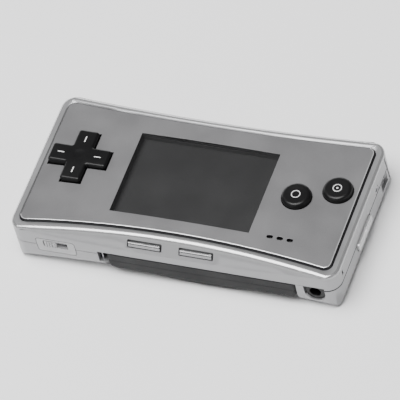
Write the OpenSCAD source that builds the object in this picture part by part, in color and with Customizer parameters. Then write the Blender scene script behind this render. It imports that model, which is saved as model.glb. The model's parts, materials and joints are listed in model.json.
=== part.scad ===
// Pocket game console with a game cartridge in its slot.
// X runs along the length, +Y points away from the player, +Z up.
// The origin is the middle of the body, on the surface it stands on.

/* [Body] */
// Length of the body, left to right
body_l = 102; // [99:0.2:123]
// Depth of the body, front to rear
body_d = 51; // [49:0.2:61.2]
// Height of the faceplate's middle above the surface the body stands on
crown_h = 17.2; // [17:0.1:20.6]
// How much lower the faceplate is at the body's ends than in the middle
end_drop = 2; // [1.2:0.1:2.2]
// How far the underside rises between the two ends it stands on
arch_rise = 2.1; // [1.4:0.1:2.4]
// Radius of the body's upright corners, seen from above
corner_r = 4.5; // [4:0.1:5.5]
// Radius along the body's bottom edges
edge_r = 4; // [3.2:0.1:4.4]
// Distance of the line that the body stands on from each end
foot_in = 3.2; // [3:0.1:4]
// Thickness of the outer walls
wall = 1.5; // [1.2:0.05:1.8]
// Height of the seam between the two shells
seam_z = 8.5; // [8.2:0.1:8.8]
// Width of the seam
seam_gap = 0.12; // [0.08:0.01:0.16]

/* [Bevels] */
// How far the front bevel cuts back at its top, at mid length
bevel_in = 3.3; // [2.7:0.1:3.6]
// Height of the bevel at mid length
bevel_h = 4.4; // [3.8:0.1:4.8]
// How much less the bevel cuts back at the body's ends
bevel_bow = 1.8; // [1.4:0.1:2]

/* [Faceplate] */
// Gap between the faceplate's end and the body's end
plate_end_gap = 2.25; // [2:0.05:2.6]
// Width of the rim beside the faceplate at mid length
rim_w = 1.8; // [1.4:0.1:2]
// How far the faceplate's long edges bow in at mid length
plate_bow = 2.7; // [2.2:0.1:3]
// Corner radius of the faceplate
plate_corner_r = 2.5; // [2:0.1:3]
// Thickness of the faceplate
plate_t = 1.4; // [1.2:0.05:1.65]
// How far the faceplate stands above the rim
plate_proud = 0.6; // [0.4:0.05:0.8]
// Thickness of the front shell under the faceplate
deck_t = 1.2; // [1:0.05:1.45]

/* [Display] */
// Width of the clear window
window_w = 43.4; // [40:0.1:46]
// Depth of the clear window, front to rear
window_d = 29.4; // [27:0.1:30]
// Middle of the window, measured from the body's middle
window_x = -0.05; // [-1:0.05:1]
// Middle of the window, front to rear
window_y = -0.65; // [-1:0.05:0]
// Depth of the display's face below the faceplate's crown
display_sink = 3.2; // [3.1:0.05:3.5]
// Thickness of the display module
display_t = 2.2; // [1.8:0.05:2.4]
// Thickness of the gasket around the window
gasket_t = 1; // [0.8:0.05:1.2]

/* [Direction pad] */
// Distance of the pad's middle from the body's left end
pad_in = 13.55; // [13:0.05:14]
// Place of the pad's middle, front to rear
pad_y = 2.1; // [1:0.1:4]
// Length of the pad's opening
pad_hole_l = 19.1; // [17.5:0.1:19.5]
// Width of the pad's opening across one arm
pad_hole_w = 7.05; // [6.5:0.05:7.6]
// Gap around the pad
pad_gap = 0.32; // [0.3:0.01:0.36]
// Height of the pad above the faceplate
pad_proud = 1.7; // [1.4:0.1:2]
// How far the pad tilts, in degrees
pad_tilt = 3; // [2:0.1:3.2]

/* [Round buttons] */
// Radius of the round buttons
button_r = 4.4; // [3.8:0.05:5.3]
// Gap around the round buttons
button_gap = 0.18; // [0.12:0.01:0.22]
// Height of the round buttons above the faceplate
button_proud = 1.7; // [1.4:0.1:2]
// Distance of the inner button's middle from the body's right end
inner_button_in = 19.75; // [19.5:0.05:20.5]
// Place of the inner button's middle, front to rear
inner_button_y = 0; // [-1:0.1:1]
// Distance of the outer button's middle from the body's right end
outer_button_in = 8.65; // [8.5:0.05:8.8]
// Place of the outer button's middle, front to rear
outer_button_y = 4.9; // [4.5:0.1:6]

/* [Speaker] */
// Distance of the middle speaker slot from the body's right end
speaker_in = 19.85; // [19.5:0.05:21]
// Distance of the speaker slots from the body's front
speaker_front = 10.2; // [10:0.1:11]
// Spacing of the speaker slots
speaker_pitch = 3.05; // [2.6:0.05:3.4]
// Width of one speaker slot
speaker_slot_w = 1.2; // [1:0.05:1.4]
// Radius of the speaker
speaker_r = 6; // [5:0.1:6.2]

/* [Start and select] */
// Length of the start and select bars
bar_l = 10.3; // [8:0.1:11]
// Width of the bars across the bevel
bar_w = 2; // [1.7:0.05:2.3]
// Gap around the bars
bar_gap = 0.25; // [0.2:0.01:0.3]
// Travel of the bars
bar_travel = 0.5; // [0.3:0.05:0.6]
// Distance between the two bars' middles
bar_pitch = 16.05; // [14:0.05:18]
// Middle of the pair of bars, measured from the body's middle
bars_x = -0.2; // [-2:0.05:2]

/* [Cartridge] */
// Width of the cartridge
cart_w = 58.6; // [49:0.1:59]
// Length of the cartridge, front to rear
cart_l = 35; // [30:0.5:36]
// Thickness of the cartridge, without its hump
cart_t = 5.9; // [5.2:0.05:6]
// Distance of the cartridge's right side from the body's right end
cart_in = 13.15; // [13:0.05:13.6]
// How far the cartridge's end stands in front of the body
cart_proud = 0.2; // [0:0.05:0.5]
// Height of the cartridge's hump
hump_h = 2; // [1.4:0.1:2.1]
// Width of the cartridge's hump
hump_w = 41; // [36:0.5:46]
// Gap around the cartridge
cart_gap = 0.15; // [0.1:0.01:0.25]
// Wall of the cartridge
cart_wall = 1.2; // [1:0.05:1.4]

/* [Edge controls] */
// Length of each shoulder button along the rear
shoulder_l = 22; // [18:0.5:24]
// How far each shoulder button swings, in degrees
shoulder_swing = 1.2; // [0.8:0.1:1.3]
// Length of the volume rocker
rocker_l = 12; // [10:0.1:12.5]
// Height of the volume rocker
rocker_h = 2.65; // [2.2:0.05:2.7]
// How far the volume rocker stands out of the side
rocker_proud = 0.6; // [0.4:0.05:0.8]
// Width of the power switch's panel
switch_w = 12.2; // [11.8:0.1:12.6]
// Height of the power switch's panel
switch_h = 5.7; // [5.4:0.1:5.9]
// Width of the power knob
knob_w = 3.7; // [3.2:0.1:4]
// Travel of the power knob
knob_travel = 3.4; // [2.8:0.1:3.5]

/* [Headphone jack] */
// Radius of the headphone plug's hole
jack_r = 1.75; // [1.75:0.01:1.8]
// Radius of the jack's round nose
jack_nose_r = 3.1; // [2.8:0.05:3.15]
// Distance of the jack's middle from the body's right end
jack_in = 7.4; // [7.3:0.05:7.5]
// Length of the jack
jack_l = 12.4; // [11:0.1:12.6]

/* [Fasteners] */
// Radius of the case screws' shanks
screw_r = 0.7; // [0.6:0.05:0.8]
// Radius of the case screws' heads
screw_head_r = 1.35; // [1.2:0.05:1.45]
// Radius of the side screws' heads
side_screw_r = 1.4; // [1.2:0.05:1.5]

/* [Hidden] */

// Facets of small, middling and very large curves
small_fn = 40;
round_fn = 72;
large_fn = 256;
// An overlap that makes a cut pass right through
over = 0.5;
// Clearance of a pin in its hole, of a seated piece and of a loose one
pin_gap = 0.05;
seat_gap = 0.1;
free_gap = 0.3;

half_l = body_l / 2;
half_d = body_d / 2;

function arc_r(half, rise) = (half * half + rise * rise) / (2 * rise);
face_r = arc_r(half_l, end_drop);
arch_r = arc_r(half_l - foot_in, arch_rise);
bevel_r = arc_r(half_l, bevel_bow);

// Height of the faceplate's top and of the underside at x
function crown(x) = crown_h - face_r + sqrt(face_r * face_r - x * x);
function belly(x) = arch_rise - arch_r + sqrt(arch_r * arch_r - x * x);

rim_z = crown_h - plate_proud;
deck_drop = plate_t + deck_t;
bevel_low_z = rim_z - bevel_h;
bevel_slope = bevel_in / bevel_h;
bevel_angle = atan(bevel_slope);

// Main board
board_t = 0.9;
board_top = seam_z + 2.4;
board_bottom = board_top - board_t;
board_half_l = half_l - 4.5;
board_half_d = half_d - 5;

// Places of the controls
pad_x = -half_l + pad_in;
inner_x = half_l - inner_button_in;
outer_x = half_l - outer_button_in;
speaker_x = half_l - speaker_in;
speaker_y = -half_d + speaker_front;
jack_x = half_l - jack_in;
switch_x = -half_l + 14.35;
switch_z = seam_z + 0.05;
rocker_y = -1.8;
rocker_z = seam_z - 0.15 - rocker_h / 2;

// Cartridge
cart_x = half_l - cart_in - cart_w / 2;
cart_top = seam_z + 0.75;
cart_bottom = cart_top - cart_t;
cart_front = -half_d - cart_proud;
cart_rear = cart_front + cart_l;
cart_split = cart_bottom + cart_t * 0.55;
bay_left = cart_x - cart_w / 2 - cart_gap;
bay_right = cart_x + cart_w / 2 + cart_gap;
bay_top = cart_top + cart_gap + 0.05;
open_l = 17.5;

// Places of the four case screws: the right front one stands clear of the rocker's end
boss_r = screw_r + 1;
rocker_reach = rocker_l / 2 + 0.9;
screw_x = half_l - 3.9;
screw_places = [[screw_x, rocker_y - rocker_reach - boss_r - 0.2], [screw_x, half_d - 8.2],
    [-screw_x, -half_d + 11], [-screw_x, half_d - 8.2]];

// Shoulder buttons: their region on the right, and their pivots
shoulder_low = 3.4;
shoulder_top = 12.9;
shoulder_gap = seat_gap + shoulder_l * sin(shoulder_swing);
shoulder_inner_x = half_l - shoulder_l;
pivot_x = shoulder_inner_x + 1.6;
pivot_y = half_d - 3.1;
pivot_pin_r = 0.6;

// A rectangle with round corners, centred
module round_rect(l, w, r, fn = round_fn) {
    square([l - 2 * r, w], center = true);
    square([l, w - 2 * r], center = true);
    for (x = [-1, 1], y = [-1, 1])
        translate([x * (l / 2 - r), y * (w / 2 - r)]) circle(r, $fn = fn);
}

// A box given by its lowest and highest corners
module box(low, high) {
    translate(low) cube(high - low);
}

// Everything under the faceplate's curved top, lowered by drop
module under_face(drop) {
    translate([0, 0, crown_h - drop - face_r])
        rotate([90, 0, 0]) cylinder(body_d * 2, r = face_r, center = true, $fn = large_fn);
}

// What the front bevel cuts away, grown by inset
module bevel_cut(inset) {
    low = -8;
    high = bevel_h + 4;
    grown = bevel_r + inset / cos(bevel_angle);
    translate([0, -half_d + bevel_in - bevel_r, rim_z - bevel_h + low])
        cylinder(high - low, r1 = grown + (low - bevel_h) * bevel_slope,
            r2 = grown + (high - bevel_h) * bevel_slope, $fn = large_fn);
}

// The body's outer form, its top lowered by drop
module body_form(drop) {
    form(0, drop) round_bottom(form_w(), 2 * crown_h, edge_r);
}

// The hollow inside walls of the given thickness, its edges cut off where the body's are round
module hollow_form(inset, drop) {
    form(inset, drop) cut_bottom(form_w(), 2 * crown_h, edge_r * 0.4);
}

// Width of the profile that form() asks of its child
function form_w() = $form_w;

// A form inside the body's outline: its child is an upright profile, form_w() wide,
// which is swept along the arch and also rounds the two ends
module form(inset, drop) {
    sweep = 20;
    tall = 2 * crown_h;
    depth = body_d - 2 * inset;
    length = body_l - 2 * inset;
    difference() {
        intersection() {
            translate([0, 0, -2]) linear_extrude(tall)
                round_rect(length, depth, corner_r - inset);
            translate([0, 0, arch_rise - arch_r]) rotate([90, 0, 0])
                rotate([0, 0, 90 - sweep / 2]) rotate_extrude(angle = sweep, $fn = large_fn)
                    translate([arch_r + inset + tall / 2, 0]) rotate([0, 0, -90])
                        let ($form_w = depth) children();
            rotate([90, 0, 0]) linear_extrude(body_d * 2, center = true)
                translate([0, tall / 2 + inset]) let ($form_w = length) children();
            under_face(drop);
        }
        bevel_cut(inset);
        mirror([0, 1, 0]) bevel_cut(inset);
    }
}

// An upright profile, its lower two corners round
module round_bottom(w, h, r) {
    translate([0, r / 2]) square([w, h - r], center = true);
    square([w - 2 * r, h], center = true);
    for (x = [-1, 1])
        translate([x * (w / 2 - r), -h / 2 + r]) circle(r, $fn = round_fn);
}

// An upright profile, its lower two corners cut off
module cut_bottom(w, h, cut) {
    polygon([[-w / 2, h / 2], [w / 2, h / 2], [w / 2, cut - h / 2],
        [w / 2 - cut, -h / 2], [cut - w / 2, -h / 2], [-w / 2, cut - h / 2]]);
}

// Everything between two heights
module slab(low, high) {
    box([-body_l, -body_d, low], [body_l, body_d, high]);
}

// The faceplate's outline, grown by grow
module plate_outline(grow) {
    half = half_l - plate_end_gap + grow;
    r = plate_corner_r + grow;
    big_r = arc_r(half_l - plate_end_gap, plate_bow) - grow;
    big_y = -half_d + bevel_in + rim_w - grow - big_r;
    corner_x = half - r;
    corner_y = big_y + sqrt(pow(big_r + r, 2) - corner_x * corner_x);
    touch_x = corner_x * big_r / (big_r + r);
    difference() {
        square([2 * touch_x, body_d], center = true);
        for (side = [-1, 1])
            translate([0, -side * big_y]) circle(big_r, $fn = large_fn);
    }
    square([2 * half, -2 * corner_y], center = true);
    for (x = [-1, 1], y = [-1, 1])
        translate([x * corner_x, y * corner_y]) rotate(45) circle(r, $fn = round_fn);
}

// A plus sign
module plus(l, w) {
    square([l, w], center = true);
    square([w, l], center = true);
}

// The three speaker slots, right through
module speaker_slots() {
    slot_l = speaker_slot_w + 0.7;
    for (i = [-1, 0, 1])
        translate([speaker_x + i * speaker_pitch, speaker_y, board_top])
            linear_extrude(crown_h)
                round_rect(slot_l, speaker_slot_w, speaker_slot_w / 2 - 0.01, small_fn);
}

// The openings of the pad and the round buttons, right through
module control_holes() {
    translate([pad_x, pad_y, board_top]) linear_extrude(crown_h) plus(pad_hole_l, pad_hole_w);
    for (at = [[inner_x, inner_button_y], [outer_x, outer_button_y]])
        translate([at.x, at.y, board_top])
            cylinder(crown_h, r = button_r + button_gap, $fn = round_fn);
}

// Puts its child on the front bevel: its +Z points out of the bevel and its +Y up the slope
module on_bevel(x) {
    mid_z = rim_z - bevel_h * 0.55;
    mid_y = -half_d + bevel_in * 0.45;
    translate([x, mid_y, mid_z]) rotate([90 - bevel_angle, 0, 0]) children();
}

// The region of the right shoulder button, grown by the given gaps
module shoulder_region(gap, side_gap) {
    lean = 1.1;
    translate([shoulder_inner_x - gap, 0, 0]) rotate([90, 0, 90]) linear_extrude(shoulder_l + 5)
        polygon([[half_d - 3.3 - side_gap, shoulder_low - gap],
            [half_d + 5, shoulder_low - gap],
            [half_d + 5, shoulder_top + gap],
            [half_d - 3.3 - lean - side_gap, shoulder_top + gap]]);
}

// Strap bar, in its notch beside the cartridge
strap_l = 2.7;
strap_r = 0.35;
strap_x = bay_left - strap_l + 0.9;
strap_y = -half_d + 1.3;
strap_low = seam_z - 4.1;

// The front notch for the cartridge, the strap bar, the post and the jack
module front_notch() {
    box([bay_left - strap_l, -half_d - over, seam_z - over],
        [jack_x + jack_nose_r + seat_gap, -half_d + 4, bay_top]);
}

// The jack's outline: a round nose with a flat top
jack_top = bay_top - 0.1;
jack_z = jack_top - 2.5;
module jack_outline(grow) {
    r = jack_nose_r + grow;
    difference() {
        translate([jack_x, jack_z]) {
            circle(r, $fn = round_fn);
            translate([-r, 0]) square([2 * r, r]);
        }
        translate([jack_x - 2 * r, jack_top + grow]) square([4 * r, 2 * r]);
    }
}

// Puts its child across the body: its +Z points to +Y and its +Y up
module facing_rear(y) {
    translate([0, y, 0]) rotate([90, 0, 0]) mirror([0, 0, 1]) children();
}

// Cuts that the side walls share: rocker, screws and release holes
module side_cuts() {
    box([half_l - wall - over, rocker_y - rocker_l / 2 - free_gap, rocker_z - rocker_h / 2 - 0.2],
        [half_l + over, rocker_y + rocker_l / 2 + free_gap, seam_z]);
    for (side = [-1, 1]) {
        translate([side * half_l, side_screw_y, side_screw_z]) rotate([0, 90, 0])
            cylinder(1.4, r = side_screw_r + seat_gap, center = true, $fn = small_fn);
        translate([side * half_l, side_screw_y, side_screw_z]) rotate([0, 90, 0])
            cylinder(8, r = 0.65, center = true, $fn = small_fn);
        translate([side * half_l, release_y, release_z])
            cube([2 * wall + 2, 0.8, 1.7], center = true);
    }
}
side_screw_y = 11.8;
side_screw_z = seam_z + 1.4;
release_y = -half_d + 5.6;
release_z = seam_z + 2.9;

module back_shell() {
    color("#b9bbbf") difference() {
        union() {
            difference() {
                body_form(0);
                slab(seam_z - seam_gap, crown_h * 2);
                hollow_form(wall, 0);
            }
            // Bay walls, battery wall and screw bosses
            intersection() {
                union() {
                    bay_walls();
                    for (at = screw_places)
                        translate([at.x, at.y, 0])
                            cylinder(seam_z - seam_gap, r = boss_r, $fn = small_fn);
                    for (side = [-1, 1])
                        translate([side * pivot_x, pivot_y, 0])
                            cylinder(shoulder_low + 1.3, r = 1.5, $fn = small_fn);
                }
                hollow_form(wall * 0.5, 0);
            }
            // Post between the cartridge and the jack
            intersection() {
                box([bay_right, -half_d, 0],
                    [jack_x - jack_nose_r + 1, -half_d + 3.9, bay_top - seam_gap]);
                body_form(0);
            }
        }
        // The bay: open underneath at the front, floored behind
        box([bay_left, -half_d - 1, -1],
            [bay_right, -half_d + open_l, bay_top]);
        box([bay_left, -half_d - 1, cart_bottom - cart_gap],
            [bay_right, cart_rear + free_gap, bay_top]);
        // Strap notch
        box([bay_left - strap_l, -half_d - 1, seam_z - 3.5], [bay_left + 1, -half_d + 3, bay_top]);
        translate([strap_x, strap_y, strap_low]) cylinder(seam_z, r = strap_r, $fn = small_fn);
        // Jack, power switch, side controls and rear connector
        facing_rear(-half_d - 1) linear_extrude(wall + 4) jack_outline(seat_gap);
        switch_cut();
        side_cuts();
        box([half_l - 0.8, half_d - 10.3, 4.4], [half_l + 1, half_d - 5.4, 8]);
        translate([half_l - 1.5, half_d - 7.35, 6.35]) cube([4, 1.6, 1.6], center = true);
        rear_connector_cut();
        for (side = [0, 1]) mirror([side, 0, 0]) {
            shoulder_region(free_gap, shoulder_gap);
            translate([pivot_x, pivot_y, shoulder_low - 0.4])
                cylinder(crown_h, r = pivot_pin_r, $fn = small_fn);
        }
        for (at = screw_places) {
            translate([at.x, at.y, -1]) cylinder(crown_h, r = screw_r + 0.15, $fn = small_fn);
            translate([at.x, at.y, -1])
                cylinder(screw_seat + 1, r = screw_head_r + seat_gap, $fn = small_fn);
        }
        translate([half_l - wall - 1.4, rocker_y, rocker_z - rocker_h / 2 - 2.2])
            cylinder(crown_h, r = 0.5, $fn = small_fn);
    }
}
screw_seat = 3.2;

// Walls inside the back shell that line the cartridge bay
module bay_walls() {
    for (x = [bay_left - wall, bay_right])
        box([x, -half_d, 0], [x + wall, cart_rear + 7, bay_top - 0.3]);
    box([half_l - wall - 2.8, rocker_y - 1.8, 0],
        [half_l - wall, rocker_y + 1.8, rocker_z - rocker_h / 2 - 0.4]);
}

module switch_cut() {
    translate([switch_x, 0, switch_z]) facing_rear(-half_d - 1) linear_extrude(wall + 1.2)
        round_rect(switch_w + 2 * seat_gap, switch_h + 2 * seat_gap, 1, small_fn);
}

module rear_connector_cut() {
    box([-9.2, half_d - wall - 2, 4.4], [9.2, half_d + 1, seam_z]);
}

module front_shell() {
    color("#bfc1c5") difference() {
        union() {
            difference() {
                body_form(plate_proud);
                slab(-1, seam_z);
                hollow_form(wall, deck_drop);
            }
            intersection() {
                union() {
                    for (at = screw_places)
                        translate([at.x, at.y, seam_z])
                            cylinder(crown_h, r = boss_r, $fn = small_fn);
                    for (side = [-1, 1])
                        translate([side * pivot_x, pivot_y, shoulder_top - 0.7])
                            cylinder(crown_h, r = 1.5, $fn = small_fn);
                    translate([half_l - wall - 1.4, rocker_y, seam_z])
                        cylinder(crown_h, r = 1.1, $fn = small_fn);
                }
                hollow_form(wall * 0.5, plate_t + deck_t * 0.5);
            }
        }
        // Seat of the faceplate
        difference() {
            linear_extrude(crown_h * 2) plate_outline(seat_gap);
            under_face(plate_t);
        }
        front_notch();
        control_holes();
        speaker_slots();
        translate([window_x, window_y, board_top]) linear_extrude(crown_h)
            square([window_w + 2 * gasket_t + 0.1, window_d + 2 * gasket_t + 0.1], center = true);
        for (side = [-1, 1])
            on_bevel(bars_x + side * bar_pitch / 2) linear_extrude(12, center = true)
                round_rect(bar_l + 2 * bar_gap, bar_w + 2 * bar_gap, 0.4, small_fn);
        switch_cut();
        side_cuts();
        for (side = [0, 1]) mirror([side, 0, 0]) {
            shoulder_region(free_gap, shoulder_gap);
            translate([pivot_x, pivot_y, 0])
                cylinder(shoulder_top + 0.6, r = pivot_pin_r, $fn = small_fn);
            hook_form(seat_gap + 0.05);
        }
        for (at = screw_places)
            translate([at.x, at.y, seam_z - 1])
                cylinder(4.6, r = screw_r + pin_gap, $fn = small_fn);
        translate([half_l - wall - 1.4, rocker_y, seam_z - 1])
            cylinder(2.6, r = 0.5, $fn = small_fn);
    }
}

// A hook under the right end of the faceplate
hook_x = half_l - 3.5;
hook_l = 2.6;
module hook_form(grow) {
    box([hook_x - 0.5 - grow, release_y - hook_l / 2 - grow, release_z - 0.6 - grow],
        [hook_x + 0.5 + grow, release_y + hook_l / 2 + grow, crown(hook_x) - plate_t + 0.3]);
}

module faceplate() {
    color("#97989a") difference() {
        union() {
            difference() {
                intersection() {
                    linear_extrude(crown_h * 2) plate_outline(0);
                    under_face(0);
                }
                under_face(plate_t - seat_gap);
            }
            for (side = [0, 1]) mirror([side, 0, 0]) hook_form(0);
        }
        control_holes();
        speaker_slots();
        translate([window_x, window_y, board_top]) linear_extrude(crown_h)
            square([window_w, window_d], center = true);
    }
}

module display_window() {
    color("#5a5b60", 0.5) difference() {
        intersection() {
            translate([window_x, window_y, board_top]) linear_extrude(crown_h)
                square([window_w, window_d], center = true);
            under_face(0);
        }
        under_face(plate_t - seat_gap);
    }
}

display_z = crown_h - display_sink;
gasket_top = crown(window_w / 2 + gasket_t - window_x) - plate_t;
module display_gasket() {
    color("#151516") translate([window_x, window_y, display_z]) difference() {
        linear_extrude(gasket_top - display_z)
            square([window_w + 2 * gasket_t, window_d + 2 * gasket_t], center = true);
        translate([0, 0, -over]) linear_extrude(crown_h)
            square([window_w, window_d], center = true);
    }
}

tray_t = 0.3;
display_w = window_w + 2 * gasket_t + 1.2;
display_d = window_d + 2 * gasket_t + 1.6;
module display_module() {
    color("#3c3d40") translate([window_x, window_y, display_z - display_t])
        linear_extrude(display_t) square([display_w, display_d], center = true);
}

module display_tray() {
    rim = 1;
    color("#a8aaad") translate([window_x, window_y, display_z - display_t - tray_t]) difference() {
        linear_extrude(tray_t + rim)
            square([display_w + 2 * tray_t, display_d + 2 * tray_t], center = true);
        translate([0, 0, tray_t]) linear_extrude(rim + over)
            square([display_w, display_d], center = true);
    }
}

module main_board() {
    color("#2f6b3c") translate([0, 0, board_bottom]) linear_extrude(board_t) difference() {
        square([2 * board_half_l, 2 * board_half_d], center = true);
        for (at = screw_places)
            translate(at) circle(boss_r + free_gap, $fn = small_fn);
        for (side = [-1, 1])
            translate([side * pivot_x, pivot_y]) circle(2, $fn = small_fn);
    }
}

// The pad's foot spreads under the deck, low enough for the raised arm to clear it
pad_spread = 0.8;
pad_foot_t = 0.5;
pad_reach = pad_hole_l / 2 + pad_spread;
pad_foot_z = crown(abs(pad_x) + pad_reach) - deck_drop - pad_reach * sin(pad_tilt) - seat_gap
    - pad_foot_t;
pad_pivot_z = pad_foot_z + pad_foot_t;
pivot_ball_r = 1.6;
module d_pad() {
    length = pad_hole_l - 2 * pad_gap;
    width = pad_hole_w - 2 * pad_gap;
    top = crown(pad_x) + pad_proud;
    mark_l = 2.4;
    color("#1b1b1d") translate([pad_x, pad_y, 0]) difference() {
        union() {
            translate([0, 0, pad_foot_z]) linear_extrude(top - pad_foot_z) plus(length, width);
            translate([0, 0, pad_foot_z]) linear_extrude(pad_foot_t)
                plus(length + 2 * pad_spread, width + 2 * pad_spread);
        }
        // Socket of the pivot
        translate([0, 0, pad_pivot_z]) sphere(pivot_ball_r + pin_gap, $fn = round_fn);
        // A bar sunk into each arm, and a shallow dish between them
        for (turn = [0 : 90 : 270]) rotate([0, 0, turn])
            translate([length / 2 - 3.4, 0, top]) cube([mark_l, 0.5, 0.4], center = true);
        translate([0, 0, top + 8.85]) sphere(9, $fn = round_fn);
    }
}

// A ball on a short stem, which stands on the board
module d_pad_pivot() {
    pivot_low = board_top + 0.1;
    color("#2a2a2c") {
        intersection() {
            translate([pad_x, pad_y, pad_pivot_z]) sphere(pivot_ball_r, $fn = round_fn);
            slab(pivot_low, crown_h);
        }
        translate([pad_x, pad_y, pivot_low])
            cylinder(pad_pivot_z - pivot_low, r = 1, $fn = small_fn);
    }
}

module d_pad_membrane() {
    reach = pad_hole_l / 2 - 2.6;
    color("#6e7073") translate([pad_x, pad_y, board_top]) {
        difference() {
            linear_extrude(0.3) square([pad_hole_l + 1, pad_hole_l + 1], center = true);
            translate([0, 0, -over]) cylinder(2, r = pivot_ball_r + 0.5, $fn = small_fn);
        }
        for (turn = [0 : 90 : 270]) rotate([0, 0, turn]) translate([reach, 0, 0])
            cylinder(pad_foot_z - board_top - 0.05, r1 = 2.2, r2 = 1.5, $fn = small_fn);
    }
}

flange_t = 0.8;
// Half the distance between the two round buttons, and the flange that fits between them
button_half_pitch = norm([outer_x - inner_x, outer_button_y - inner_button_y]) / 2;
flange_w = min(0.9, button_half_pitch - button_r - seat_gap);
function flange_top(x) = crown(x + button_r + 1) - deck_drop - 0.1;

// A round button at x, y: a cap with a round edge, on a flange
module round_button(x, y) {
    top = crown(x) + button_proud;
    edge = 1.1;
    foot = flange_top(x) - flange_t;
    translate([x, y, 0]) rotate_extrude($fn = round_fn) {
        translate([0, foot]) square([button_r - edge, top - foot]);
        translate([0, foot]) square([button_r, top - edge - foot]);
        translate([0, foot]) square([button_r + flange_w, flange_t]);
        intersection() {
            translate([button_r - edge, top - edge]) circle(edge, $fn = round_fn);
            translate([0, foot]) square([button_r + 1, top]);
        }
    }
}

module button_b() {
    color("#1b1b1d") round_button(inner_x, inner_button_y);
}

module button_a() {
    color("#1b1b1d") round_button(outer_x, outer_button_y);
}

module button_membrane() {
    places = [[inner_x, inner_button_y], [outer_x, outer_button_y]];
    color("#6e7073") {
        translate([0, 0, board_top]) linear_extrude(0.25) {
            for (at = places) translate(at) circle(5.2, $fn = round_fn);
            translate((places[0] + places[1]) / 2)
                rotate(atan2(outer_button_y - inner_button_y, outer_x - inner_x))
                    square([8, 5], center = true);
        }
        for (at = places) translate([at.x, at.y, board_top])
            cylinder(flange_top(at.x) - flange_t - board_top - 0.05, r1 = 3.2, r2 = 2.2,
                $fn = small_fn);
    }
}

// A start or select bar at x: its face lies just below the bevel
bar_deep = 3;
module bevel_bar(x) {
    sunk = 0.05;
    on_bevel(x) {
        translate([0, 0, -bar_deep]) linear_extrude(bar_deep - sunk)
            round_rect(bar_l, bar_w, 0.3, small_fn);
        translate([0, -0.1, -bar_deep]) linear_extrude(0.6)
            round_rect(bar_l + 1.4, bar_w + 1, 0.3, small_fn);
        // Ridge along the upper side
        translate([0, bar_w / 2 - 0.45, -sunk - 0.2]) rotate([0, 90, 0])
            cylinder(bar_l - 0.6, r = 0.42, center = true, $fn = small_fn);
    }
}

module start_button() {
    color("#c8cacd") bevel_bar(bars_x + bar_pitch / 2);
}

module select_button() {
    color("#c8cacd") bevel_bar(bars_x - bar_pitch / 2);
}

module start_select_membrane() {
    color("#6e7073") on_bevel(bars_x)
        translate([0, -0.1, -bar_deep - bar_travel - 0.5]) {
            linear_extrude(0.4) square([bar_pitch + bar_l, bar_w + 0.8], center = true);
            for (side = [-1, 1]) translate([side * bar_pitch / 2, 0, 0])
                cylinder(bar_travel + 0.45, r = 0.9, $fn = small_fn);
        }
}

module shoulder_button() {
    switch_mid = half_l - 8.5;
    difference() {
        union() {
            intersection() {
                difference() {
                    body_form(0);
                    hollow_form(wall, 0);
                }
                shoulder_region(0, 0);
            }
            translate([pivot_x, pivot_y, shoulder_low + 1.6])
                cylinder(shoulder_top - shoulder_low - 2.6, r = 1.3, $fn = small_fn);
            box([pivot_x - 1.2, pivot_y, shoulder_low + 1.6],
                [pivot_x + 1.2, half_d - wall + 0.2, shoulder_top - 1]);
            box([switch_mid - 1, half_d - wall - 1, seam_z - 1.6],
                [switch_mid + 1, half_d - wall + 0.2, seam_z + 0.4]);
        }
        translate([pivot_x, pivot_y, 0])
            cylinder(crown_h, r = pivot_pin_r + pin_gap, $fn = small_fn);
    }
}

module shoulder_button_right() {
    color("#b4b6ba") shoulder_button();
}

module shoulder_button_left() {
    color("#b4b6ba") mirror([1, 0, 0]) shoulder_button();
}

module shoulder_pin() {
    translate([pivot_x, pivot_y, shoulder_low - 0.4])
        cylinder(shoulder_top - shoulder_low + 1, r = pivot_pin_r, $fn = small_fn);
}

module shoulder_pin_right() {
    color("#8d8f92") shoulder_pin();
}

module shoulder_pin_left() {
    color("#8d8f92") mirror([1, 0, 0]) shoulder_pin();
}

module shoulder_switch() {
    switch_mid = half_l - 8.5;
    rear = half_d - wall - 1.6;
    box([switch_mid - 2.2, rear - 4, board_bottom - 3], [switch_mid + 2.2, rear - 0.5, board_bottom]);
    box([switch_mid - 0.8, rear - 0.6, seam_z - 1.3], [switch_mid + 0.8, rear, seam_z]);
}

module shoulder_switch_right() {
    color("#35363a") shoulder_switch();
}

module shoulder_switch_left() {
    color("#35363a") mirror([1, 0, 0]) shoulder_switch();
}

module volume_rocker() {
    low = rocker_z - rocker_h / 2;
    high = rocker_z + rocker_h / 2;
    pin_x = half_l - wall - 1.4;
    color("#a9abae") difference() {
        union() {
            translate([half_l + rocker_proud - 1.2, rocker_y, rocker_z]) rotate([0, 90, 0])
                linear_extrude(2.4, center = true) round_rect(rocker_h, rocker_l, 0.8, small_fn);
            box([pin_x, rocker_y - 1, low], [half_l, rocker_y + 1, high]);
            box([half_l - wall - 1.3, rocker_y - rocker_reach, low],
                [half_l - wall - 0.5, rocker_y + rocker_reach, high]);
            translate([pin_x, rocker_y, low]) cylinder(rocker_h, r = 1.2, $fn = small_fn);
        }
        translate([pin_x, rocker_y, low - over])
            cylinder(rocker_h + 1, r = 0.5 + pin_gap, $fn = small_fn);
    }
}

module volume_rocker_pin() {
    color("#8d8f92") translate([half_l - wall - 1.4, rocker_y, rocker_z - rocker_h / 2 - 2.2])
        cylinder(rocker_h + 3.9, r = 0.5, $fn = small_fn);
}

module volume_switch() {
    color("#35363a") box([half_l - 7, rocker_y - 4.5, seam_z - 3],
        [half_l - 4.8, rocker_y + 4.5, board_bottom]);
}

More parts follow.
